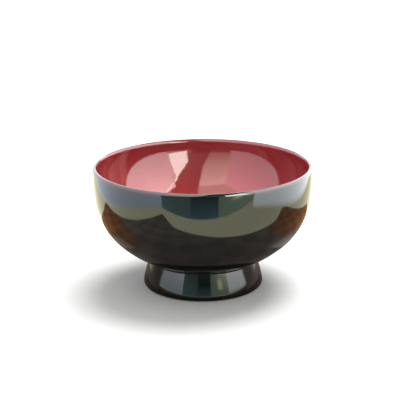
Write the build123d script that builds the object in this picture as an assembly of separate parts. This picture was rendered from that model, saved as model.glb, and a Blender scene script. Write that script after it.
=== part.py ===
from build123d import *

import os
from math import acos, atan2, cos, degrees, hypot, radians, sin

# A footed soup bowl in lacquered wood: black outside, dark red inside.
#
# It is made the way such a bowl is made.  The cup and the foot are turned
# from wood.  The foot is a ring that is pushed over a spigot under the cup
# and glued.  A filled ground is then laid over the bare wood, and lacquer
# over the ground, one zone after the other: inside, outside, foot, recess.
# A zone's ground and its lacquer are one closed solid each.
#
# Frame: millimetres, +Z up, origin on the surface that the bowl stands on,
# at the centre of the foot.  The bowl is a body of revolution about Z.
#
# Everything comes from one half section of the finished surface, a chain of
# tangent arcs and straight lines in the plane of R (along X) and Z.  It runs
# from the middle of the inside, over the lip, down the outside, round the
# foot and into the recess under it.  Each layer below the surface is that
# same chain, sunk by the layer's depth.

# ---------------------------------------------------------------- dimensions

RIM_RADIUS = 57.5  # outside of the wall just under the lip
HEIGHT = 65.4  # standing surface to the crown of the lip

LIP_THICKNESS = 2.2  # the wall where the lip begins
LIP_FLANK_RADIUS = 2.6  # the soft shoulder on each side of the crown
LIP_FLANK_TURN = 40.0  # degrees that each shoulder turns before the crown

# The outside wall from the lip down to the foot: (radius, slope at its end),
# with the slope in degrees from the vertical.
OUTER_WALL = [(150.0, 6.0), (35.6, 49.5)]
UNDERSIDE_RADIUS = 65.0  # the last arc, which runs in to the foot

INSIDE_RADIUS = 55.75  # the inside is part of a sphere, centred over the bottom
SHOULDER_RADIUS = 25.0  # the tighter arc between that sphere and the lip

FOOT_RADIUS = 31.8  # outside of the foot at its widest
FOOT_SIDE_RADIUS = 52.0  # the foot's side bulges a little
FOOT_SIDE_LEAN = 9.0  # degrees from the vertical where the side meets its lower edge
FOOT_EDGE_RADIUS = 2.1  # outer edge of the standing face
NECK_FILLET = 0.6  # where the foot meets the cup
STANDING_INNER_RADIUS = 27.8  # inner limit of the flat standing face
RECESS_EDGE_RADIUS = 0.8  # inner edge of the standing face
RECESS_LEAN = 13.0  # degrees that the recess wall leans in going up
RECESS_HEIGHT = 8.5  # standing surface to the recess ceiling
RECESS_CORNER = 1.6  # fillet between the recess wall and its ceiling

LACQUER = 0.25  # depth of the lacquer under the surface
GROUND = 0.25  # depth of the ground under the lacquer

SPIGOT_RADIUS = 24.6  # the foot ring is glued round this spigot

WOOD_DEPTH = LACQUER + GROUND
OUTWARD = 0.0  # direction of a surface that faces away from the axis, in degrees
UPWARD = 90.0
INWARD = 180.0
DOWNWARD = -90.0
BEYOND = 100.0  # a length past the edge of the part


# --------------------------------------------------------- pieces of a chain


def polar(centre, radius, angle):
    """The point at that distance and direction from the centre."""
    turn = radians(angle)
    return (centre[0] + radius * cos(turn), centre[1] + radius * sin(turn))


class Arc:
    """An arc of the surface, from one direction about its centre to another.

    A full arc has its centre in the material, and a hollow one in the air.
    """

    def __init__(self, centre, radius, start, end, hollow=False):
        self.centre = centre
        self.radius = radius
        self.start = start
        self.end = end
        self.hollow = hollow

    def at(self, depth):
        """Centre, radius, first and last point when sunk by that depth."""
        radius = self.radius + depth if self.hollow else self.radius - depth
        first = polar(self.centre, radius, self.start)
        last = polar(self.centre, radius, self.end)
        return self.centre, radius, first, last

    def ends(self, depth):
        return self.at(depth)[2:]

    def edge(self, depth):
        centre, radius, _, _ = self.at(depth)
        return CenterArc(centre, radius, self.start, self.end - self.start)


class Flat:
    """A straight stretch of the surface, which faces in that direction."""

    def __init__(self, first, last, facing):
        self.first = first
        self.last = last
        self.facing = facing

    def ends(self, depth):
        return (
            polar(self.first, -depth, self.facing),
            polar(self.last, -depth, self.facing),
        )

    def edge(self, depth):
        return Line(*self.ends(depth))


# ------------------------------------------------------- the finished surface


def lip():
    """The two shoulders and the crown, and the height where the walls begin."""
    turn = radians(LIP_FLANK_TURN)
    half = LIP_THICKNESS / 2
    crown_radius = (half - LIP_FLANK_RADIUS * (1 - cos(turn))) / cos(turn)
    crown = (RIM_RADIUS - half, HEIGHT - crown_radius)
    shoulder = LIP_FLANK_RADIUS - crown_radius
    inner = polar(crown, -shoulder, INWARD - LIP_FLANK_TURN)
    outer = polar(crown, -shoulder, LIP_FLANK_TURN)
    inner_flank = Arc(inner, LIP_FLANK_RADIUS, INWARD, INWARD - LIP_FLANK_TURN)
    crown_arc = Arc(crown, crown_radius, INWARD - LIP_FLANK_TURN, LIP_FLANK_TURN)
    outer_flank = Arc(outer, LIP_FLANK_RADIUS, LIP_FLANK_TURN, OUTWARD)
    return inner_flank, crown_arc, outer_flank, inner[1]


def wall(start, arcs):
    """Tangent arcs going down from a start point, and the point they reach."""
    point = start
    slope = 0.0
    made = []
    for radius, end_slope in arcs:
        centre = polar(point, -radius, -slope)
        made.append(Arc(centre, radius, -slope, -end_slope))
        point = polar(centre, radius, -end_slope)
        slope = end_slope
    return made, point


def heading(start, end):
    """The direction from one point to another, in degrees."""
    return degrees(atan2(end[1] - start[1], end[0] - start[0]))


def circles_meet(centre_a, reach_a, centre_b, reach_b):
    """The point at those distances from both centres, on the outer side."""
    apart = hypot(centre_b[0] - centre_a[0], centre_b[1] - centre_a[1])
    cosine = (reach_a**2 + apart**2 - reach_b**2) / (2 * reach_a * apart)
    turn = heading(centre_a, centre_b) - degrees(acos(cosine))
    return polar(centre_a, reach_a, turn)


def inside_run(inner_flank, wall_top):
    """From the middle of the inside up to the crown of the lip."""
    shoulder_centre = (RIM_RADIUS - LIP_THICKNESS - SHOULDER_RADIUS, wall_top)
    between = INSIDE_RADIUS - SHOULDER_RADIUS
    slope = degrees(acos(shoulder_centre[0] / between))
    sphere_centre = (0, wall_top + between * sin(radians(slope)))
    sphere = Arc(sphere_centre, INSIDE_RADIUS, DOWNWARD, -slope, hollow=True)
    shoulder = Arc(shoulder_centre, SHOULDER_RADIUS, -slope, OUTWARD, hollow=True)
    return [sphere, shoulder, inner_flank]


def outside_and_foot_runs(crown_arc, outer_flank, wall_top):
    """From the crown down to the neck, and from the neck round the foot."""
    arcs, low = wall((RIM_RADIUS, wall_top), OUTER_WALL)
    slope = OUTER_WALL[-1][1]
    under_centre = polar(low, -UNDERSIDE_RADIUS, -slope)
    edge_centre = (FOOT_RADIUS - FOOT_EDGE_RADIUS, FOOT_EDGE_RADIUS)
    side_reach = FOOT_SIDE_RADIUS - FOOT_EDGE_RADIUS
    foot_centre = polar(edge_centre, -side_reach, FOOT_SIDE_LEAN)
    fillet_centre = circles_meet(
        foot_centre,
        FOOT_SIDE_RADIUS + NECK_FILLET,
        under_centre,
        UNDERSIDE_RADIUS + NECK_FILLET,
    )
    under_end = heading(under_centre, fillet_centre)
    side_start = heading(foot_centre, fillet_centre)
    underside = Arc(under_centre, UNDERSIDE_RADIUS, -slope, under_end)
    outside = [crown_arc, outer_flank, *arcs, underside]

    neck = Arc(
        fillet_centre, NECK_FILLET, under_end + 180, side_start + 180, hollow=True
    )
    side = Arc(foot_centre, FOOT_SIDE_RADIUS, side_start, FOOT_SIDE_LEAN)
    outer_edge = Arc(edge_centre, FOOT_EDGE_RADIUS, FOOT_SIDE_LEAN, DOWNWARD)
    standing_face = Flat((edge_centre[0], 0), (STANDING_INNER_RADIUS, 0), DOWNWARD)
    inner_centre = (STANDING_INNER_RADIUS, RECESS_EDGE_RADIUS)
    wall_facing = RECESS_LEAN - 180
    inner_edge = Arc(inner_centre, RECESS_EDGE_RADIUS, DOWNWARD, wall_facing)
    foot = [neck, side, outer_edge, standing_face, inner_edge]
    return outside, foot


def recess_run(inner_edge):
    """From the foot's inner edge up the recess wall and across its ceiling."""
    wall_facing = inner_edge.end
    foot_of_wall = inner_edge.ends(0)[1]
    corner_z = RECESS_HEIGHT - RECESS_CORNER
    lean = radians(RECESS_LEAN)
    climb = (corner_z - foot_of_wall[1] + RECESS_CORNER * sin(lean)) / cos(lean)
    top_of_wall = polar(foot_of_wall, climb, UPWARD + RECESS_LEAN)
    corner_centre = polar(top_of_wall, RECESS_CORNER, wall_facing)
    corner = Arc(corner_centre, RECESS_CORNER, RECESS_LEAN, UPWARD, hollow=True)
    recess_wall = Flat(foot_of_wall, top_of_wall, wall_facing)
    ceiling = Flat((corner_centre[0], RECESS_HEIGHT), (0, RECESS_HEIGHT), DOWNWARD)
    return [recess_wall, corner, ceiling]


# -------------------------------------------------------------------- solids


def turned(edges):
    """The solid of revolution of a closed outline in the half section."""
    return revolve(make_face(Plane.XZ * Curve(edges)), Axis.Z, 360)


def coat(run, top, bottom):
    """A layer over one run of the surface, between two depths."""
    start = Line(run[0].ends(top)[0], run[0].ends(bottom)[0])
    end = Line(run[-1].ends(top)[1], run[-1].ends(bottom)[1])
    upper = [piece.edge(top) for piece in run]
    lower = [piece.edge(bottom) for piece in run]
    return turned([*upper, *lower, start, end])


def bare_wood(surface):
    """Cup and foot in one, before the joint is cut between them."""
    edges = [piece.edge(WOOD_DEPTH) for piece in surface]
    top = surface[0].ends(WOOD_DEPTH)[0]
    bottom = surface[-1].ends(WOOD_DEPTH)[1]
    return turned([*edges, Line(bottom, top)])


def foot_region(neck):
    """The ring of space round the spigot, up to the seat under the cup."""
    seat_z = neck.centre[1]
    around = Cylinder(BEYOND, BEYOND, align=(Align.CENTER, Align.CENTER, Align.MAX))
    spigot = Cylinder(
        SPIGOT_RADIUS, BEYOND, align=(Align.CENTER, Align.CENTER, Align.MAX)
    )
    return Pos(0, 0, seat_z) * (around - spigot)


inner_flank, crown_arc, outer_flank, wall_top = lip()
inside = inside_run(inner_flank, wall_top)
outside, foot = outside_and_foot_runs(crown_arc, outer_flank, wall_top)
recess = recess_run(foot[-1])
wood = bare_wood([*inside, *outside, *foot, *recess])
ring_space = foot_region(foot[0])

nodes = {
    "wood_cup": wood - ring_space,
    "foot_ring": wood & ring_space,
}
for zone, run in {
    "inside": inside,
    "outside": outside,
    "foot": foot,
    "recess": recess,
}.items():
    nodes[f"{zone}_lacquer"] = coat(run, 0, LACQUER)
    nodes[f"{zone}_ground"] = coat(run, LACQUER, WOOD_DEPTH)

os.makedirs("parts", exist_ok=True)
for name, shape in nodes.items():
    export_step(shape, f"parts/{name}.step")
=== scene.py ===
from math import acos, atan2, ceil, cos, degrees, hypot, pi, radians, sin

import bmesh
import bpy
from mathutils import Matrix, Vector, noise


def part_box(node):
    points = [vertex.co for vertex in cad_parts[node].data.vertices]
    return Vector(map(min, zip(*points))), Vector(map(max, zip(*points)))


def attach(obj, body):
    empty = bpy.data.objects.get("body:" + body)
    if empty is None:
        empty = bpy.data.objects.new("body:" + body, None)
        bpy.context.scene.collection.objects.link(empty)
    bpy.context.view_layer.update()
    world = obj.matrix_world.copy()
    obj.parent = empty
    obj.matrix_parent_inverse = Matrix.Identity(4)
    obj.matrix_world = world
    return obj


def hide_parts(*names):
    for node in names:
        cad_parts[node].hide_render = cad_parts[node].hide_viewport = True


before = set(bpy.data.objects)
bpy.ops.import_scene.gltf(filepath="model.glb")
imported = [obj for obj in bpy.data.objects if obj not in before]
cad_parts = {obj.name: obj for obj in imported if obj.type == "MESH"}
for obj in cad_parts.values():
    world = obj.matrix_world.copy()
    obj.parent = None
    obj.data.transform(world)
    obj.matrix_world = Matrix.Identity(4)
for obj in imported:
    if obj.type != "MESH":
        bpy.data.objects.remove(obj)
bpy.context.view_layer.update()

# A lacquered soup bowl: mirror black outside, dark red inside.
#
# The four coats of lacquer that show are built here again, finer than the CAD
# solids that they stand for, and with what a brush, a lathe and years of use
# leave on a real one: a surface that isn't quite true, a hand-painted colour
# line along the lip, and a rubbed standing edge.  The wood and the ground
# under them are the CAD's own solids.
#
# Units are metres.  The half section lies in the plane of R and Z; every
# angle in it is in degrees, with 0 facing away from the axis and 90 facing up.

MM = 0.001

# ------------------------------------------------------- the bowl's section

RIM_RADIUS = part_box("outside_lacquer")[1].x
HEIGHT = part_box("outside_lacquer")[1].z
FOOT_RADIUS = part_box("foot_lacquer")[1].x
COAT = 0.25 * MM  # depth of a coat of lacquer
RECESS_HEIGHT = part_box("recess_lacquer")[1].z - COAT

LIP_THICKNESS = 2.2 * MM
LIP_FLANK_RADIUS = 2.6 * MM
LIP_FLANK_TURN = 40.0
OUTER_RADII = (150.0 * MM, 35.6 * MM, 65.0 * MM)
OUTER_SLOPES = (6.0, 49.5)  # from the vertical, where the next arc takes over
INSIDE_RADIUS = 55.75 * MM
SHOULDER_RADIUS = 25.0 * MM
FOOT_SIDE_RADIUS = 52.0 * MM
FOOT_SIDE_LEAN = 9.0  # where the side meets the foot's lower edge
FOOT_EDGE_RADIUS = 2.1 * MM
NECK_FILLET = 0.6 * MM
STANDING_INNER_RADIUS = 27.8 * MM
RECESS_EDGE_RADIUS = 0.8 * MM
RECESS_LEAN = 13.0
RECESS_CORNER = 1.6 * MM

OUTWARD = 0.0
UPWARD = 90.0
INWARD = 180.0
DOWNWARD = -90.0

# ---------------------------------------------------- how finely it is built

COLUMNS = 360  # round the axis
POINT_SPACING = 0.8 * MM  # along the section, on a wide curve
TURN_SPACING = 6.0  # degrees between points, on a tight one
FEWEST_STEPS = 3
MERGE_DISTANCE = 0.0005 * MM
CORNER_ANGLE = 40.0  # sharper edges than this, in degrees, aren't smoothed

# --------------------------------------- what hand work leaves in the surface

WAVE_HEIGHT = 0.012 * MM  # the brushed coat's long waves
WAVE_LENGTH = 22.0 * MM
SET_BACK = 0.024 * MM  # keeps the waves inside the CAD's box
STILL_BELOW = 0.05 * MM  # the face it stands on stays flat
RIM_SAG = 0.05 * MM  # the lip isn't quite level
LINE_WANDER = 5.0  # degrees round the crown that the colour line strays
LINE_WAVES = 7.0  # bends of the colour line round the lip
BEAD_HEIGHT = 0.02 * MM  # the red coat's rounded edge, over the black
BEAD_WIDTH = 0.35 * MM


# ================================================================== section


def polar(centre, radius, angle):
    turn = radians(angle)
    return (centre[0] + radius * cos(turn), centre[1] + radius * sin(turn))


def heading(start, end):
    return degrees(atan2(end[1] - start[1], end[0] - start[0]))


class Arc:
    """A stretch of the surface on a circle; hollow if its centre is in the air."""

    def __init__(self, centre, radius, start, end, hollow=False):
        self.centre = centre
        self.radius = radius
        self.start = start
        self.end = end
        self.hollow = hollow

    def steps(self):
        turn = abs(self.end - self.start)
        length = self.radius * radians(turn)
        return max(FEWEST_STEPS, ceil(turn / TURN_SPACING), ceil(length / POINT_SPACING))

    def place(self, along):
        """The point and the facing angle at a fraction along the stretch."""
        angle = self.start + (self.end - self.start) * along
        facing = angle + 180 if self.hollow else angle
        return polar(self.centre, self.radius, angle), facing


class Flat:
    """A straight stretch of the surface."""

    def __init__(self, first, last, facing):
        self.first = first
        self.last = last
        self.facing = facing

    def steps(self):
        length = hypot(self.last[0] - self.first[0], self.last[1] - self.first[1])
        return max(FEWEST_STEPS, ceil(length / POINT_SPACING))

    def place(self, along):
        point = tuple(a + (b - a) * along for a, b in zip(self.first, self.last))
        return point, self.facing


def section():
    """The four runs of the finished surface, and the crown that two of them share."""
    turn = radians(LIP_FLANK_TURN)
    half = LIP_THICKNESS / 2
    crown_radius = (half - LIP_FLANK_RADIUS * (1 - cos(turn))) / cos(turn)
    crown = (RIM_RADIUS - half, HEIGHT - crown_radius)
    reach = LIP_FLANK_RADIUS - crown_radius
    inner = polar(crown, -reach, INWARD - LIP_FLANK_TURN)
    outer = polar(crown, -reach, LIP_FLANK_TURN)
    inner_flank = Arc(inner, LIP_FLANK_RADIUS, INWARD, INWARD - LIP_FLANK_TURN)
    crown_arc = Arc(crown, crown_radius, INWARD - LIP_FLANK_TURN, LIP_FLANK_TURN)
    outer_flank = Arc(outer, LIP_FLANK_RADIUS, LIP_FLANK_TURN, OUTWARD)
    wall_top = inner[1]

    # inside: a sphere over the bottom, then a tighter shoulder under the lip
    shoulder_centre = (RIM_RADIUS - LIP_THICKNESS - SHOULDER_RADIUS, wall_top)
    between = INSIDE_RADIUS - SHOULDER_RADIUS
    slope = degrees(acos(shoulder_centre[0] / between))
    sphere_centre = (0.0, wall_top + between * sin(radians(slope)))
    sphere = Arc(sphere_centre, INSIDE_RADIUS, DOWNWARD, -slope, hollow=True)
    shoulder = Arc(shoulder_centre, SHOULDER_RADIUS, -slope, OUTWARD, hollow=True)
    inside = [sphere, shoulder, inner_flank]

    # outside: three arcs from the lip down to the neck
    upper_radius, belly_radius, under_radius = OUTER_RADII
    upper_slope, belly_slope = OUTER_SLOPES
    upper_centre = (RIM_RADIUS - upper_radius, wall_top)
    belly_centre = polar(upper_centre, upper_radius - belly_radius, -upper_slope)
    under_centre = polar(belly_centre, belly_radius - under_radius, -belly_slope)
    edge_centre = (FOOT_RADIUS - FOOT_EDGE_RADIUS, FOOT_EDGE_RADIUS)
    foot_centre = polar(edge_centre, FOOT_EDGE_RADIUS - FOOT_SIDE_RADIUS, FOOT_SIDE_LEAN)
    neck_centre = circles_meet(
        foot_centre, FOOT_SIDE_RADIUS + NECK_FILLET, under_centre, under_radius + NECK_FILLET
    )
    under_end = heading(under_centre, neck_centre)
    side_start = heading(foot_centre, neck_centre)
    outside = [
        crown_arc,
        outer_flank,
        Arc(upper_centre, upper_radius, OUTWARD, -upper_slope),
        Arc(belly_centre, belly_radius, -upper_slope, -belly_slope),
        Arc(under_centre, under_radius, -belly_slope, under_end),
    ]

    # foot: the fillet at the neck, the bulging side, the edge and the face it stands on
    inner_edge_centre = (STANDING_INNER_RADIUS, RECESS_EDGE_RADIUS)
    wall_facing = RECESS_LEAN - 180
    inner_edge = Arc(inner_edge_centre, RECESS_EDGE_RADIUS, DOWNWARD, wall_facing)
    foot = [
        Arc(neck_centre, NECK_FILLET, under_end + 180, side_start + 180, hollow=True),
        Arc(foot_centre, FOOT_SIDE_RADIUS, side_start, FOOT_SIDE_LEAN),
        Arc(edge_centre, FOOT_EDGE_RADIUS, FOOT_SIDE_LEAN, DOWNWARD),
        Flat((edge_centre[0], 0.0), (STANDING_INNER_RADIUS, 0.0), DOWNWARD),
        inner_edge,
    ]

    # recess: the leaning wall, a fillet, and the ceiling
    foot_of_wall = inner_edge.place(1)[0]
    lean = radians(RECESS_LEAN)
    corner_z = RECESS_HEIGHT - RECESS_CORNER
    climb = (corner_z - foot_of_wall[1] + RECESS_CORNER * sin(lean)) / cos(lean)
    top_of_wall = polar(foot_of_wall, climb, UPWARD + RECESS_LEAN)
    corner_centre = polar(top_of_wall, RECESS_CORNER, wall_facing)
    recess = [
        Flat(foot_of_wall, top_of_wall, wall_facing),
        Arc(corner_centre, RECESS_CORNER, RECESS_LEAN, UPWARD, hollow=True),
        Flat((corner_centre[0], RECESS_HEIGHT), (0.0, RECESS_HEIGHT), DOWNWARD),
    ]
    return inside, outside, foot, recess


def circles_meet(centre_a, reach_a, centre_b, reach_b):
    """The point at those distances from both centres, on the outer side."""
    apart = hypot(centre_b[0] - centre_a[0], centre_b[1] - centre_a[1])
    cosine = (reach_a**2 + apart**2 - reach_b**2) / (2 * reach_a * apart)
    return polar(centre_a, reach_a, heading(centre_a, centre_b) - degrees(acos(cosine)))


# =================================================================== relief


def wave(x, y, z):
    """Height of the coat's long, shallow waves at that place."""
    place = Vector((x, y, z)) / WAVE_LENGTH
    return WAVE_HEIGHT * (noise.noise(place) + 0.4 * noise.noise(place * 2.3))


def sag(column, z):
    """How far the lip hangs low at that column; nothing below the lip's half of the bowl."""
    turn = 2 * pi * column / COLUMNS
    share = max(0.0, 2 * z / HEIGHT - 1) ** 2
    return RIM_SAG * share * (0.5 + 0.3 * sin(2 * turn + 0.7) + 0.2 * sin(3 * turn + 2.1))


def line_shift(column):
    """Degrees that the colour line has strayed over the crown at that column."""
    turn = 2 * pi * column / COLUMNS
    ring = Vector((cos(turn), sin(turn), 0.3)) * LINE_WAVES
    return LINE_WANDER * (noise.noise(ring) + 0.5 * noise.noise(ring * 2.7))


def bead(distance):
    """Extra height of the red coat at that distance from its painted edge."""
    if distance > BEAD_WIDTH:
        return 0.0
    across = 1 - distance / BEAD_WIDTH
    return BEAD_HEIGHT * (1 - (1 - across) ** 2) * min(1.0, 4 * (1 - across) + 0.5)


# =================================================================== meshes


def shifted(run, column):
    """The run as it is at one column, where the colour line has strayed."""
    shift = line_shift(column)
    first, last = run[0], run[-1]
    if run is OUTSIDE:
        start = first.start + shift
        return [Arc(first.centre, first.radius, start, first.end), *run[1:]]
    if run is INSIDE:
        crown = OUTSIDE[0]
        return [*run, Arc(crown.centre, crown.radius, last.end, last.end + shift)]
    return run


def coat_mesh(name, run):
    """A closed shell over one run of the section, one coat deep."""
    counts = [stretch.steps() for stretch in shifted(run, 0)]
    rows = sum(counts) + 1
    over, under = [], []
    for column in range(COLUMNS):
        turn = 2 * pi * column / COLUMNS
        ring = (cos(turn), sin(turn))
        top, low = [], []
        stretches = shifted(run, column)
        for number, (stretch, count) in enumerate(zip(stretches, counts)):
            first = 0 if number == 0 else 1
            for step in range(first, count + 1):
                (r, z), facing = stretch.place(step / count)
                top.append((r, z, facing))
        end = top[-1]
        for r, z, facing in top:
            low_r, low_z = polar((r, z), -COAT, facing)
            low.append((max(0.0, low_r) * ring[0], max(0.0, low_r) * ring[1], low_z))
        for r, z, facing in top:
            height = wave(r * ring[0], r * ring[1], z)
            if run is INSIDE:
                height += bead(hypot(end[0] - r, end[1] - z))
            if r <= 0.0:
                height = 0.0
            if z < STILL_BELOW and run is FOOT:
                height = SET_BACK
            new_r, new_z = polar((r, z), height - SET_BACK, facing)
            new_z -= sag(column, z)
            over.append((max(0.0, new_r) * ring[0], max(0.0, new_r) * ring[1], new_z))
        under.extend(low)
    return closed_shell(name, over, under, rows)


def closed_shell(name, over, under, rows):
    """Joins the two sides of a shell, each given column by column, at both ends."""
    below = len(over)
    vertices = [*over, *under]
    faces = []
    for column in range(COLUMNS):
        a = column * rows
        b = (column + 1) % COLUMNS * rows
        for row in range(rows - 1):
            faces.append((a + row, b + row, b + row + 1, a + row + 1))
            faces.append(
                (below + a + row, below + a + row + 1, below + b + row + 1, below + b + row)
            )
        faces.append((a, below + a, below + b, b))
        last = rows - 1
        faces.append((a + last, b + last, below + b + last, below + a + last))
    mesh = bpy.data.meshes.new(name)
    mesh.from_pydata(vertices, [], faces)
    tidy_mesh(mesh)
    piece = bpy.data.objects.new(name, mesh)
    bpy.context.scene.collection.objects.link(piece)
    return piece


def tidy_mesh(mesh):
    """Closes the poles, turns the faces outward and smooths all but real corners."""
    form = bmesh.new()
    form.from_mesh(mesh)
    bmesh.ops.remove_doubles(form, verts=form.verts, dist=MERGE_DISTANCE)
    bmesh.ops.dissolve_degenerate(form, edges=form.edges, dist=MERGE_DISTANCE)
    bmesh.ops.recalc_face_normals(form, faces=form.faces)
    form.to_mesh(mesh)
    form.free()
    mesh.shade_smooth()
    mesh.set_sharp_from_angle(angle=radians(CORNER_ANGLE))


INSIDE, OUTSIDE, FOOT, RECESS = section()


# ================================================================ materials

# The scale of a pattern is how often it repeats over a metre.  A pattern that
# follows the brush has two: per radian round the axis, and per metre across.

POOL_SCALE = 55.0  # where the coat lies thicker and thinner
STREAK_SCALES = (2.5, 500.0)
HANDLED_SCALE = 38.0  # where hands have dulled it
POLISH_SCALES = (4.0, 2600.0)
POLISH_DEPTH = 0.0005 * MM
PEEL_SCALE = 800.0
PEEL_DEPTH = 0.0012 * MM
NIB_SCALE = 95.0  # specks of dust caught in the coat
NIB_SIZE = 0.026  # in steps of that pattern
NIB_HEIGHT = 0.02 * MM
RUBBED_HEIGHT = 0.9 * MM  # how far up the standing edge is rubbed
RUBBED_SCALE = 420.0

GRAIN_SCALES = (60.0, 900.0, 900.0)  # the grain runs along X
GRAIN_DEPTH = 0.02 * MM
RING_SCALE = 90.0
GRIT_SCALE = 2200.0
GRIT_DEPTH = 0.01 * MM
STAIN_SCALE = 70.0

PALE_WOOD = (0.56, 0.38, 0.21, 1)
RING_WOOD = (0.43, 0.26, 0.13, 1)
GRAIN_BROWN = (0.30, 0.17, 0.08, 1)
BROWN_GROUND = (0.085, 0.052, 0.036, 1)
DARK_GROUND = (0.050, 0.032, 0.025, 1)


class Nodes:
    """Short ways to add and join the nodes of one material."""

    def __init__(self, name):
        self.material = bpy.data.materials.new(name)
        self.material.use_nodes = True
        self.tree = self.material.node_tree
        self.shader = self.tree.nodes["Principled BSDF"]
        place = self.add("ShaderNodeTexCoord")
        self.place = place.outputs["Object"]

    def add(self, kind, settings=None, **inputs):
        node = self.tree.nodes.new(kind)
        for key, value in (settings or {}).items():
            setattr(node, key, value)
        for key, value in inputs.items():
            self.feed(node, key.replace("_", " "), value)
        return node

    def feed(self, node, socket, value):
        target = node.inputs[int(socket)] if socket.isdigit() else node.inputs[socket]
        if isinstance(value, bpy.types.NodeSocket):
            self.tree.links.new(value, target)
        else:
            target.default_value = value

    def maths(self, operation, first, second=0.0):
        node = self.add("ShaderNodeMath", {"operation": operation})
        self.feed(node, "0", first)
        self.feed(node, "1", second)
        return node.outputs[0]

    def noise(self, scale, detail=2.0, roughness=0.5, vector=None):
        node = self.add("ShaderNodeTexNoise", Scale=scale, Detail=detail, Roughness=roughness)
        self.feed(node, "Vector", vector or self.place)
        return node.outputs["Fac"]

    def remap(self, value, low, high, to_low, to_high):
        node = self.add("ShaderNodeMapRange", Value=value)
        self.feed(node, "From Min", low)
        self.feed(node, "From Max", high)
        self.feed(node, "To Min", to_low)
        self.feed(node, "To Max", to_high)
        return node.outputs["Result"]

    def mix(self, share, first, second):
        node = self.add("ShaderNodeMix", {"data_type": "RGBA"})
        self.feed(node, "0", share)
        self.feed(node, "6", first)
        self.feed(node, "7", second)
        return node.outputs[2]

    def split(self):
        parts = self.add("ShaderNodeSeparateXYZ", Vector=self.place)
        return parts.outputs["X"], parts.outputs["Y"], parts.outputs["Z"]

    def reach(self, x, y):
        """Distance from the axis."""
        squares = self.maths("ADD", self.maths("MULTIPLY", x, x), self.maths("MULTIPLY", y, y))
        return self.maths("SQRT", squares)

    def round_the_axis(self, along, across):
        """Coordinates that follow the brush: stretched round the axis, fine across it."""
        x, y, z = self.split()
        turn = self.maths("ARCTAN2", y, x)
        radius = self.reach(x, y)
        joined = self.add("ShaderNodeCombineXYZ")
        self.feed(joined, "X", self.maths("MULTIPLY", turn, along))
        self.feed(joined, "Y", self.maths("MULTIPLY", radius, across))
        self.feed(joined, "Z", self.maths("MULTIPLY", z, across))
        return joined.outputs[0]

    def bump(self, height, depth, before=None):
        node = self.add("ShaderNodeBump", Height=height, Distance=depth, Strength=1.0)
        if before is not None:
            self.feed(node, "Normal", before)
        return node.outputs["Normal"]

    def finish(self, colour, roughness, normal=None, ior=1.5, tint=(1, 1, 1, 1)):
        self.feed(self.shader, "Base Color", colour)
        self.feed(self.shader, "Roughness", roughness)
        self.feed(self.shader, "IOR", ior)
        self.feed(self.shader, "Specular Tint", tint)
        if normal is not None:
            self.feed(self.shader, "Normal", normal)
        return self.material


def lacquer(name, deep, thin, smooth, dull, worn=None, ior=1.5, tint=(1, 1, 1, 1)):
    """Brushed and polished lacquer over a dark ground.

    deep and thin are its colour where the coat lies thick and thin, and smooth
    and dull its roughness where it is clean and where it has been handled.
    worn is the colour of the standing face, where the coat is rubbed, and tint
    is the colour of what it mirrors head on.
    """
    n = Nodes(name)
    pooled = n.remap(n.noise(POOL_SCALE, 3.0), 0.3, 0.7, 0.0, 1.0)
    brushed = n.noise(1.0, 2.0, vector=n.round_the_axis(*STREAK_SCALES))
    streaks = n.remap(brushed, 0.35, 0.75, 0.0, 1.0)
    share = n.maths("ADD", n.maths("MULTIPLY", pooled, 0.75), n.maths("MULTIPLY", streaks, 0.25))
    colour = n.mix(share, deep, thin)

    handled = n.remap(n.noise(HANDLED_SCALE, 4.0, 0.6), 0.45, 0.72, 0.0, 1.0)
    polish = n.noise(1.0, 3.0, 0.7, vector=n.round_the_axis(*POLISH_SCALES))
    gloss = n.remap(handled, 0.0, 1.0, smooth, dull)
    gloss = n.maths("ADD", gloss, n.maths("MULTIPLY", polish, 0.018))

    if worn is not None:
        _, _, z = n.split()
        near_floor = n.remap(z, 0.0, RUBBED_HEIGHT, 1.0, 0.0)
        patchy = n.remap(n.noise(RUBBED_SCALE, 4.0, 0.65), 0.4, 0.62, 0.0, 1.0)
        rubbed = n.maths("MULTIPLY", near_floor, patchy)
        colour = n.mix(rubbed, colour, worn)
        gloss = n.maths("ADD", gloss, n.maths("MULTIPLY", near_floor, 0.3))

    peel = n.noise(PEEL_SCALE, 2.0)
    normal = n.bump(peel, PEEL_DEPTH)
    normal = n.bump(polish, POLISH_DEPTH, normal)
    cells = n.add("ShaderNodeTexVoronoi", Vector=n.place, Scale=NIB_SCALE, Randomness=1.0)
    nib = n.remap(cells.outputs["Distance"], 0.0, NIB_SIZE, 1.0, 0.0)
    normal = n.bump(nib, NIB_HEIGHT, normal)
    return n.finish(colour, gloss, normal, ior, tint)


def bare_wood():
    n = Nodes("bare_wood")
    grain = n.add("ShaderNodeMapping", Vector=n.place, Scale=GRAIN_SCALES)
    figure = n.noise(1.0, 6.0, 0.6, vector=grain.outputs[0])
    rings = n.add(
        "ShaderNodeTexWave", {"wave_type": "RINGS", "rings_direction": "X"},
        Vector=n.place, Scale=RING_SCALE, Distortion=3.0, Detail=3.0,
    )
    colour = n.mix(rings.outputs["Fac"], PALE_WOOD, RING_WOOD)
    colour = n.mix(n.maths("MULTIPLY", figure, 0.5), colour, GRAIN_BROWN)
    return n.finish(colour, n.remap(figure, 0.0, 1.0, 0.5, 0.75), n.bump(figure, GRAIN_DEPTH))


def filled_ground():
    n = Nodes("filled_ground")
    grit = n.noise(GRIT_SCALE, 4.0, 0.7)
    stain = n.noise(STAIN_SCALE, 3.0)
    colour = n.mix(stain, BROWN_GROUND, DARK_GROUND)
    return n.finish(colour, n.remap(grit, 0.0, 1.0, 0.55, 0.8), n.bump(grit, GRIT_DEPTH))


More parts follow.
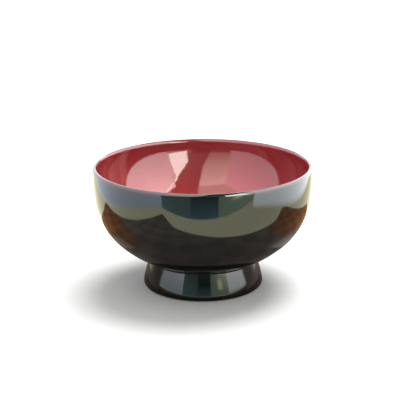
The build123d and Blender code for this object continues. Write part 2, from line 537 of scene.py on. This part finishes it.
def floor_material():
    n = Nodes("pale_floor")
    tone = n.remap(n.noise(3.0, 3.0), 0.3, 0.7, 0.0, 1.0)
    colour = n.mix(tone, (0.69, 0.69, 0.685, 1), (0.71, 0.71, 0.705, 1))
    n.feed(n.shader, "Specular IOR Level", 0.0)
    return n.finish(colour, 0.9)


# =================================================================== pieces


DEEP_RED = (0.246, 0.028, 0.032, 1)
THIN_RED = (0.290, 0.037, 0.041, 1)
RED_SHEEN = (1, 0.76, 0.74, 1)
DEEP_BLACK = (0.0036, 0.0037, 0.0036, 1)
THIN_BLACK = (0.0062, 0.0053, 0.0047, 1)
RUBBED_BROWN = (0.060, 0.034, 0.022, 1)
DEEP_DULL_BLACK = (0.004, 0.0038, 0.0036, 1)
THIN_DULL_BLACK = (0.008, 0.0065, 0.0055, 1)

RED = lacquer("red_lacquer", DEEP_RED, THIN_RED, smooth=0.045, dull=0.085, tint=RED_SHEEN)
BLACK = lacquer("black_lacquer", DEEP_BLACK, THIN_BLACK, smooth=0.04, dull=0.085)
FOOT_BLACK = lacquer(
    "foot_black_lacquer", DEEP_BLACK, THIN_BLACK,
    smooth=0.04, dull=0.085, worn=RUBBED_BROWN, ior=1.45,
)
RECESS_BLACK = lacquer(
    "recess_black_lacquer", DEEP_DULL_BLACK, THIN_DULL_BLACK, smooth=0.12, dull=0.22
)

COATS = {
    "inside_lacquer": (INSIDE, RED, "red_lacquer"),
    "outside_lacquer": (OUTSIDE, BLACK, "black_lacquer"),
    "foot_lacquer": (FOOT, FOOT_BLACK, "black_lacquer"),
    "recess_lacquer": (RECESS, RECESS_BLACK, "black_lacquer"),
}
for node, (run, material, slot) in COATS.items():
    coat = coat_mesh(node + "_coat", run)
    coat.data.materials.append(material)
    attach(coat, "root")
    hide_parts(node)

WOOD = ("wood_cup", "foot_ring")
GROUND = ("inside_ground", "outside_ground", "foot_ground", "recess_ground")
for material, nodes in ((bare_wood(), WOOD), (filled_ground(), GROUND)):
    for node in nodes:
        for material_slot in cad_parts[node].material_slots:
            material_slot.material = material


# =================================================================== studio

# The bowl is a mirror, so its look is mostly the look of what stands round it:
# a small light tent of white cloth, open at the front towards a darker room,
# with a brown mat under the bowl.  Each is a card that glows, and shows in the
# lacquer only.  The light that falls on the bowl and the floor comes from a
# pale sky and one large soft lamp overhead.
#
# X runs to the right and Y to the back, with the bowl's axis at 0, 0.  A
# card's colour is the light it gives off.

FLOOR_RADIUS = 2.8
SWEEP_RADIUS = 1.8  # the floor curves up all round, so that no horizon shows
SWEEP_STEPS = 24
SWEEP_COLUMNS = 96

TENT_LEFT = -0.173
TENT_RIGHT = 0.178
TENT_BACK = 0.34
TENT_TOP = 0.26
ROOF_SEAM = 0.018  # where the two halves of the roof meet
BACK_FOLD_HEIGHT = 0.11  # the back is brighter above this
CORNER_HALF_AXES = (0.105, 0.155)  # the front corners are rounded in the plan
LEFT_BEND_Y = -0.030  # where a side starts to bend in
LEFT_OPENING_Y = -0.163  # where it ends
RIGHT_BEND_Y = -0.017
RIGHT_OPENING_Y = -0.136
SIDE_STEPS = 12
HEM_GAP = 0.0005
HEM_HEIGHT = 0.008  # a soft change from the floor's cloth to the sides
LAYER = 0.00004  # gap between cards that lie on each other

OPENING_LEFT = -0.125
OPENING_RIGHT = 0.176
OPENING_Y = -0.167
DARK_LEFT = -0.030  # the darkest part of the room beyond is between these
DARK_RIGHT = 0.040
DARK_LOW = 0.035  # that part is bluer below this height
DARK_TOP = 0.09
PATH_SIDES = (0.075, 0.125)  # a pale path shows in the garden
PATH_HEIGHTS = (0.018, 0.072)
ROOF_GAP_SIDES = (0.020, 0.155)  # the roof stops short of the opening here
ROOF_GAP_BACK = -0.085

# Edges of what hangs in the opening, from the bottom up, each point an x and a height.
WINDOW_LEFT = ((0.060, 0.080), (0.057, 0.125))
WINDOW_RIGHT = ((0.156, 0.090), (0.134, 0.220))
RETURN_EDGE = ((0.156, 0.090), (0.127, 0.222), (0.158, TENT_TOP))
DRAPE_EDGE = ((-0.030, 0.085), (0.002, 0.150), (0.022, TENT_TOP))
SEAM_LEFT = ((0.116, 0.198), (0.153, 0.252))  # a bright line between window and cloth
SEAM_WIDTH = 0.012
SIDE_SEAM = (  # it runs on along the tent's side: x, y, and its lower and upper edge
    (0.1390, -0.134, 0.2225, 0.2262),
    (0.1435, -0.128, 0.2255, 0.2325),
    (0.1525, -0.113, 0.2345, 0.2452),
    (0.1605, -0.096, 0.2405, 0.2540),
    (0.1665, -0.078, 0.2445, 0.2580),
)

MAT_CORNERS = ((-0.108, -0.148), (0.185, -0.030), (0.128, 0.105), (-0.176, 0.058))
MAT_TURN = 22.0  # degrees
MAT_MIDDLE_X = 0.013
LIT_ASIDE = (0.056, 0.078)  # to either side of the middle, the mat goes from painted shade to lit brown between these
LIT_BEHIND = (-0.050, -0.032)  # and from front to back between these
LIT_LEAN = 0.11  # how far that line comes forward for each metre to the right
SHADE_NEAR = 0.030  # the bowl's shade on the mat fades out between these, from the axis
SHADE_FAR = 0.110
SHADE_STRENGTHS = (0.22, 1.40)
STRIP_X = 0.055  # a strip of the mat stands up this far to either side
STRIP_BACK = 0.040
LEFT_STRIP_FRONT = -0.022
RIGHT_STRIP_FRONT = -0.024
STRIP_HEIGHT = 0.026
WEAVE_SCALE = 46.0  # squares of the weave to a metre
WOBBLE_SCALE = 60.0
WOBBLE = 0.008  # how much of that wobble the weave takes
PATCH_SCALE = 28.0
# Painted light on the mat: the grey colours are its straw in painted shade in front, the brown
# ones the same straw lit to the sides and behind.
SHADED_STRAW = (0.46, 0.41, 0.36, 1)
LIT_STRAW = (0.62, 0.27, 0.115, 1)
SHADED_GAP = (0.25, 0.22, 0.21, 1)  # between the strips
LIT_GAP = (0.29, 0.125, 0.058, 1)


def staged(name, mesh, material):
    mesh.materials.append(material)
    piece = bpy.data.objects.new(name, mesh)
    bpy.context.scene.collection.objects.link(piece)
    return piece


def grid_mesh(name, rows):
    """A sheet through rows of points, with U along each row and V from row to row."""
    across = len(rows[0])
    points = [point for row in rows for point in row]
    faces = []
    for row in range(len(rows) - 1):
        for column in range(across - 1):
            corner = row * across + column
            faces.append((corner, corner + 1, corner + across + 1, corner + across))
    mesh = bpy.data.meshes.new(name)
    mesh.from_pydata(points, [], faces)
    layer = mesh.uv_layers.new(name="sheet")
    for loop in mesh.loops:
        row, column = divmod(loop.vertex_index, across)
        layer.data[loop.index].uv = (column / (across - 1), row / (len(rows) - 1))
    return mesh


def glow(name, low, high, fade):
    """Light that changes over the sheet, and fades out at its borders.

    low and high are its colours along the bottom and the top, each either one
    colour or a pair, from the start of the row to its end.  fade gives the
    share of the sheet that fades at its start, end, bottom and top.
    """
    n = Nodes(name)
    n.tree.nodes.remove(n.shader)
    sheet = n.add("ShaderNodeUVMap", {"uv_map": "sheet"})
    parts = n.add("ShaderNodeSeparateXYZ", Vector=sheet.outputs[0])
    u, v = parts.outputs["X"], parts.outputs["Y"]

    def along(colours):
        pair = colours if isinstance(colours, list) else [colours, colours]
        return n.mix(u, (*pair[0], 1), (*pair[1], 1))

    light = n.add("ShaderNodeEmission", Color=n.mix(v, along(low), along(high)))
    surface = light.outputs[0]
    from_end = n.maths("SUBTRACT", 1.0, u)
    from_top = n.maths("SUBTRACT", 1.0, v)
    for place, share in zip((u, from_end, v, from_top), fade):
        if share > 0:
            veil = n.add("ShaderNodeMixShader")
            n.feed(veil, "0", n.remap(place, 0.0, share, 0.0, 1.0))
            n.feed(veil, "1", n.add("ShaderNodeBsdfTransparent").outputs[0])
            n.feed(veil, "2", surface)
            surface = veil.outputs[0]
    n.tree.links.new(surface, n.tree.nodes["Material Output"].inputs["Surface"])
    return n.material


def only_mirrored(piece):
    """The piece shows in what is glossy, and nowhere else."""
    piece.visible_camera = False
    piece.visible_diffuse = False
    piece.visible_shadow = False
    piece.visible_transmission = False
    piece.visible_volume_scatter = False


def card(name, rows, low, high=None, fade=()):
    """A glowing sheet, for the lacquer to mirror."""
    only_mirrored(staged(name, grid_mesh(name, rows), glow(name, low, high or low, fade)))


def upright(plan, low, high):
    """Rows for a card that stands over a line of points in the plan."""
    return [[(x, y, z) for x, y in plan] for z in (low, high)]


def level(left, right, front, back, z):
    """Rows for a card that lies flat."""
    return [[(left, front, z), (right, front, z)], [(left, back, z), (right, back, z)]]


def hanging(y, left, right):
    """Rows for a card in the opening, between two edges of x and height."""
    return [[(a, y, low), (b, y, high)] for (a, low), (b, high) in zip(left, right)]


def floor():
    """A round pale floor that curves up into its own backdrop."""
    profile = [(0.0, 0.0)]
    for step in range(SWEEP_STEPS + 1):
        turn = 90 * step / SWEEP_STEPS - 90
        profile.append(polar((FLOOR_RADIUS, SWEEP_RADIUS), SWEEP_RADIUS, turn))
    rows = []
    for r, z in profile:
        turns = [2 * pi * column / SWEEP_COLUMNS for column in range(SWEEP_COLUMNS + 1)]
        rows.append([(r * cos(turn), r * sin(turn), z) for turn in turns])
    mesh = grid_mesh("floor", rows)
    tidy_mesh(mesh)
    staged("floor", mesh, floor_material())


def tent_side(x, bend_y, opening_y):
    """The plan of one side of the tent, from the back to the edge of the opening."""
    half_x, half_y = CORNER_HALF_AXES
    middle_x = x + half_x if x < 0 else x - half_x
    plan = []
    for step in range(SIDE_STEPS):
        plan.append((x, TENT_BACK + (bend_y - TENT_BACK) * step / SIDE_STEPS))
    for step in range(SIDE_STEPS + 1):
        y = bend_y + (opening_y - bend_y) * step / SIDE_STEPS
        reach = (1 - ((bend_y - y) / half_y) ** 2) ** 0.5
        plan.append((middle_x + (x - middle_x) * reach, y))
    return plan


def tent():
    """The cloth all round, a soft hem along the foot of its sides, the roof and the floor."""
    left = tent_side(TENT_LEFT, LEFT_BEND_Y, LEFT_OPENING_Y)
    right = tent_side(TENT_RIGHT, RIGHT_BEND_Y, RIGHT_OPENING_Y)
    card(
        "left_cloth", upright(left[:SIDE_STEPS + 1], 0, TENT_TOP),
        [(1.5, 1.48, 1.56), (1.65, 2.2, 2.5)],
        [(2.4, 3.1, 3.1), (8.4, 5.9, 6.4)],
    )
    card(
        "left_corner", upright(left[SIDE_STEPS:], 0, TENT_TOP),
        [(1.65, 2.2, 2.5), (1.9, 2.75, 3.15)],
        [(8.0, 5.7, 6.1), (8.4, 5.7, 6.4)],
    )
    card(
        "right_cloth", upright(right[:SIDE_STEPS + 1], 0, TENT_TOP),
        [(3.2, 3.2, 3.5), (3.9, 4.4, 4.4)],
        [(4.2, 4.1, 4.0), (14.0, 12.6, 12.6)],
    )
    card(
        "right_corner", upright(right[SIDE_STEPS:], 0, TENT_TOP),
        [(3.9, 4.4, 4.4), (4.2, 4.8, 4.8)],
        [(14.0, 12.6, 12.6), (12.5, 11.1, 11.1)],
    )
    left_hem = tent_side(TENT_LEFT + HEM_GAP, LEFT_BEND_Y, LEFT_OPENING_Y)
    right_hem = tent_side(TENT_RIGHT - HEM_GAP, RIGHT_BEND_Y, RIGHT_OPENING_Y)
    card("left_hem", upright(left_hem, 0, HEM_HEIGHT), (2.6, 2.6, 1.9), fade=(0, 0, 0, 1))
    card("right_hem", upright(right_hem, 0, HEM_HEIGHT), (2.6, 2.6, 1.9), fade=(0, 0, 0, 1))
    back = [(TENT_LEFT, TENT_BACK), (TENT_RIGHT, TENT_BACK)]
    card(
        "back_cloth", upright(back, 0, BACK_FOLD_HEIGHT),
        (0.75, 0.75, 0.70),
        (0.95, 0.95, 0.90),
    )
    card(
        "back_light", upright(back, BACK_FOLD_HEIGHT, TENT_TOP),
        (1.6, 1.6, 1.5),
        (8.5, 9.5, 9.5),
    )
    card(
        "left_roof", level(TENT_LEFT, ROOF_SEAM, OPENING_Y, TENT_BACK, TENT_TOP),
        (5.2, 5.2, 4.6),
        (1.7, 2.2, 2.2),
    )
    card(
        "right_roof", level(ROOF_SEAM, TENT_RIGHT, OPENING_Y, TENT_BACK, TENT_TOP),
        (2.0, 2.5, 2.3),
        (2.4, 3.0, 3.0),
    )
    card(
        "floor_cloth", level(TENT_LEFT, TENT_RIGHT, OPENING_Y, TENT_BACK, LAYER),
        [(3.0, 3.0, 2.1), (2.7, 2.65, 1.8)],
        (1.1, 1.0, 0.72),
    )


def front_of_tent():
    """What shows through the opening: a dim room, a window, and cloth that hangs over it."""
    y = OPENING_Y
    card(
        "dim_upper", upright([(OPENING_LEFT, y), (OPENING_RIGHT, y)], DARK_TOP, TENT_TOP),
        [(0.45, 0.50, 0.45), (0.90, 0.90, 0.80)],
        [(0.30, 0.30, 0.28), (0.75, 0.55, 0.50)],
    )
    card(
        "dim_left", upright([(OPENING_LEFT, y), (DARK_LEFT, y)], 0, DARK_TOP),
        [(0.60, 1.10, 1.12), (0.50, 0.85, 0.88)],
        [(0.50, 0.57, 0.50), (0.34, 0.46, 0.36)],
    )
    card(
        "dim_low", upright([(DARK_LEFT, y), (DARK_RIGHT, y)], 0, DARK_LOW),
        (0.36, 0.72, 0.88),
        (0.10, 0.26, 0.26),
    )
    card(
        "dim_middle", upright([(DARK_LEFT, y), (DARK_RIGHT, y)], DARK_LOW, DARK_TOP),
        (0.05, 0.16, 0.12),
        (0.14, 0.24, 0.18),
    )
    card(
        "garden", upright([(DARK_RIGHT, y), (OPENING_RIGHT, y)], 0, DARK_TOP),
        (1.1, 1.6, 1.2),
        [(1.0, 1.4, 0.8), (4.2, 4.5, 3.3)],
    )
    y += LAYER
    card(
        "path", upright([(x, y) for x in PATH_SIDES], *PATH_HEIGHTS),
        (4.8, 5.0, 3.2),
        fade=(0.35, 0.35, 0.2, 0.3),
    )
    y += LAYER
    card("window", hanging(y, WINDOW_LEFT, WINDOW_RIGHT), (16.0, 19.0, 18.0))
    post = [(OPENING_RIGHT, z) for _, z in RETURN_EDGE]
    card("right_return", hanging(y, RETURN_EDGE, post), (8.8, 8.0, 8.0))
    post = [(OPENING_LEFT, z) for _, z in DRAPE_EDGE]
    card(
        "left_drape", hanging(y, post, DRAPE_EDGE),
        (2.2, 2.1, 1.8),
        (8.6, 8.4, 7.6),
        fade=(0.0, 0.06, 0.06),
    )
    gap = level(*ROOF_GAP_SIDES, OPENING_Y, ROOF_GAP_BACK, TENT_TOP - LAYER)
    card("roof_gap", gap, (0.68, 0.33, 0.20))
    y += LAYER
    seam_right = [(x + SEAM_WIDTH, z) for x, z in SEAM_LEFT]
    card("seam", hanging(y, SEAM_LEFT, seam_right), (15.0, 18.4, 17.5))
    low = [(x, y, z) for x, y, z, _ in SIDE_SEAM]
    high = [(x, y, z) for x, y, _, z in SIDE_SEAM]
    card("side_seam", [low, high], (15.0, 18.4, 17.5))


def mat_glow():
    """Strips in painted shade (grey) in front, lit brown to the sides and behind, and a painted
    shadow of the bowl near it.
    """
    n = Nodes("mat_glow")
    n.tree.nodes.remove(n.shader)
    turned = n.add("ShaderNodeMapping", Vector=n.place, Rotation=(0.0, 0.0, radians(-MAT_TURN)))
    wobble = n.add("ShaderNodeTexNoise", Vector=turned.outputs[0], Scale=WOBBLE_SCALE)
    loose = n.add("ShaderNodeMix", {"data_type": "VECTOR"})
    n.feed(loose, "0", WOBBLE)
    n.feed(loose, "4", turned.outputs[0])
    n.feed(loose, "5", wobble.outputs["Color"])
    strips = n.add("ShaderNodeTexChecker", Vector=loose.outputs[1], Scale=WEAVE_SCALE)
    patches = n.noise(PATCH_SCALE, 2.0)
    share = n.maths("MULTIPLY", n.maths("ADD", strips.outputs["Fac"], patches), 0.45)
    x, y, _ = n.split()
    from_middle = n.maths("ABSOLUTE", n.maths("SUBTRACT", x, MAT_MIDDLE_X))
    aside = n.remap(from_middle, *LIT_ASIDE, 0.0, 1.0)
    from_front = n.maths("ADD", y, n.maths("MULTIPLY", x, LIT_LEAN))
    behind = n.remap(from_front, *LIT_BEHIND, 0.0, 1.0)
    # how much of the painted light is the lit brown straw, against the painted shade in front
    lit_share = n.maths("MULTIPLY", aside, behind)
    straw = n.mix(lit_share, SHADED_STRAW, LIT_STRAW)
    gap = n.mix(lit_share, SHADED_GAP, LIT_GAP)
    colour = n.mix(share, straw, gap)
    strength = n.remap(n.reach(x, y), SHADE_NEAR, SHADE_FAR, *SHADE_STRENGTHS)
    light = n.add("ShaderNodeEmission", Color=colour, Strength=strength)
    n.tree.links.new(light.outputs[0], n.tree.nodes["Material Output"].inputs["Surface"])
    return n.material


def mat():
    """A brown woven mat under the bowl, with a strip standing up on either side of it."""
    front_left, front_right, back_right, back_left = [(x, y, 2 * LAYER) for x, y in MAT_CORNERS]
    sheet = grid_mesh("mat", [[front_left, front_right], [back_left, back_right]])
    only_mirrored(staged("mat", sheet, mat_glow()))
    left = [(-STRIP_X, STRIP_BACK), (-STRIP_X, LEFT_STRIP_FRONT)]
    right = [(STRIP_X, STRIP_BACK), (STRIP_X, RIGHT_STRIP_FRONT)]
    fade = (0.6, 0.08, 0, 0.3)
    card("left_strip", upright(left, 0, STRIP_HEIGHT), (0.37, 0.31, 0.26), fade=fade)
    card("right_strip", upright(right, 0, STRIP_HEIGHT), (0.55, 0.47, 0.40), fade=fade)


floor()
tent()
front_of_tent()
mat()

LAMP_PLACE = (0.24, 0.34, 1.18)
LAMP_WIDTH = 0.9
LAMP_POWER = 24.0  # watts

key = bpy.data.lights.new("overhead", "AREA")
key.shape = "DISK"
key.size = LAMP_WIDTH
key.energy = LAMP_POWER
lamp = bpy.data.objects.new("overhead", key)
lamp.location = LAMP_PLACE
lamp.rotation_euler = lamp.location.to_track_quat("Z", "Y").to_euler()  # aimed at the bowl
lamp.visible_glossy = False
bpy.context.scene.collection.objects.link(lamp)

world = bpy.data.worlds.new("studio")
world.use_nodes = True
world.node_tree.nodes["Background"].inputs["Color"].default_value = (1, 1, 1, 1)
world.node_tree.nodes["Background"].inputs["Strength"].default_value = 1.0
bpy.context.scene.world = world
bpy.context.scene.view_settings.view_transform = "Standard"

# =================================================================== camera

CAMERA_DISTANCE = 0.687
CAMERA_HEIGHT = HEIGHT + 0.1823
CAMERA_SIDE = -0.0014
CAMERA_PITCH = 16.37  # degrees down
CAMERA_ROLL = -0.4
FOCAL_LENGTH = 121.8  # in millimetres, on a 36 mm sensor

lens = bpy.data.cameras.new("camera")
lens.lens = FOCAL_LENGTH
lens.sensor_width = 36.0
lens.clip_start = 0.01
lens.clip_end = 20.0
camera = bpy.data.objects.new("camera", lens)
camera.matrix_world = (
    Matrix.Translation((CAMERA_SIDE, -CAMERA_DISTANCE, CAMERA_HEIGHT))
    @ Matrix.Rotation(radians(90 - CAMERA_PITCH), 4, "X")
    @ Matrix.Rotation(radians(CAMERA_ROLL), 4, "Z")
)
bpy.context.scene.collection.objects.link(camera)
bpy.context.scene.camera = camera
